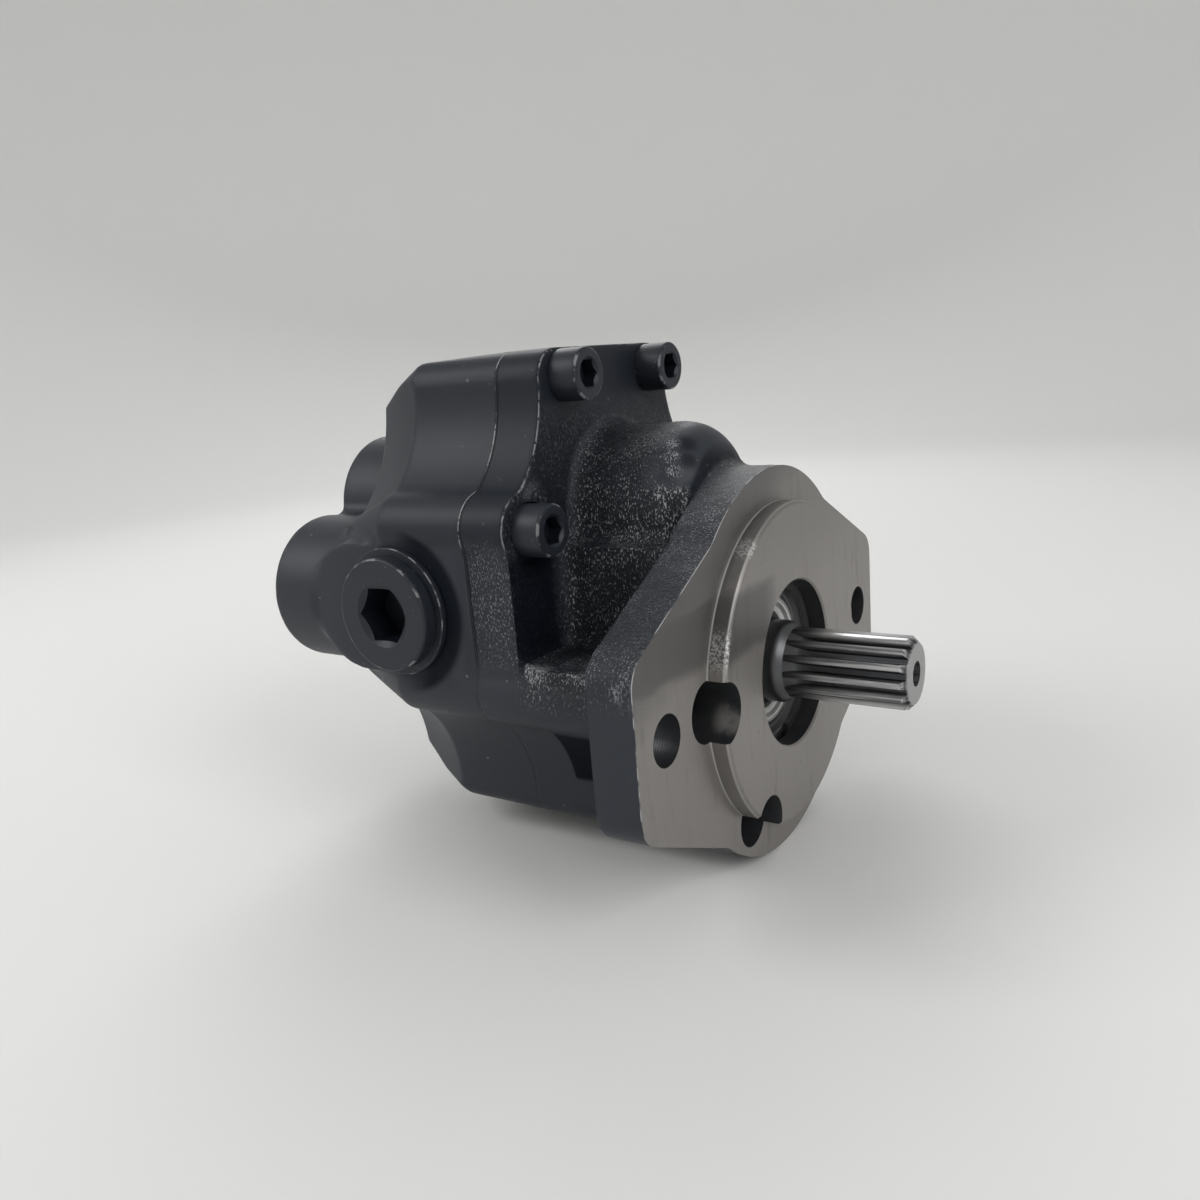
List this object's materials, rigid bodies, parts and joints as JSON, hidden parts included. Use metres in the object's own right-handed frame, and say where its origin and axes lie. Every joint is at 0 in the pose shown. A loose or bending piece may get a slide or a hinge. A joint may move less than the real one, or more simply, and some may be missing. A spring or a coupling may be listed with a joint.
{
  "type": "hydraulic gear pump",
  "caption": "External gear pump with a two-bolt pilot flange, splined drive shaft, cast neck, gear housing with plugged side ports and open rear ports.",
  "frame": {"origin": "centre of the pilot on the plane of the mounting face, on the drive shaft's axis", "axes": "+X along the drive shaft out of the mounting face, +Y across the two mounting holes away from the suction side, +Z from the drive gear to the driven gear"},
  "size_m": [0.206, 0.176, 0.1638],
  "materials": {
    "painted_casting": "satin dark slate paint over a sand casting",
    "painted_steel": "satin dark slate paint over steel",
    "ground_steel": "ground and milled steel",
    "pressed_steel": "pressed bright steel",
    "bearing_bronze": "machined bearing bronze",
    "seal_rubber": "smooth nitrile rubber",
    "backup_plastic": "natural nylon"
  },
  "bodies": {
    "casing": {"front_cover": "painted_casting", "gear_housing": "painted_casting", "front_drive_bush": "bearing_bronze", "front_driven_bush": "bearing_bronze", "rear_drive_bush": "bearing_bronze", "rear_driven_bush": "bearing_bronze", "front_pressure_plate": "bearing_bronze", "rear_pressure_plate": "bearing_bronze", "front_plate_seal": "seal_rubber", "rear_plate_seal": "seal_rubber", "front_backup_ring": "backup_plastic", "rear_backup_ring": "backup_plastic", "joint_o_ring": "seal_rubber", "shaft_seal_case": "pressed_steel", "shaft_seal_lip": "seal_rubber", "seal_garter_spring": "pressed_steel", "seal_snap_ring": "pressed_steel", "dowel_pins": "ground_steel", "top_cap_screws": "painted_steel", "side_cap_screws": "painted_steel", "recessed_cap_screws": "painted_steel", "far_cap_screws": "painted_steel", "suction_side_plug": "painted_steel", "pressure_side_plug": "painted_steel", "suction_plug_washer": "painted_steel", "pressure_plug_washer": "painted_steel"},
    "drive_rotor": {"drive_gear_shaft": "ground_steel"},
    "driven_rotor": {"driven_gear_shaft": "ground_steel"}
  },
  "joints": [
    {"name": "drive_spin", "type": "hinge", "parent": "casing", "child": "drive_rotor", "pos_m": [0, 0, 0], "axis": [1, 0, 0], "continuous": true},
    {"name": "driven_spin", "type": "hinge", "parent": "casing", "child": "driven_rotor", "pos_m": [0, 0, 0.05], "axis": [1, 0, 0], "continuous": true}
  ],
  "couplings": [
    {"joint": "driven_spin", "follows": "drive_spin", "ratio": -1}
  ]
}
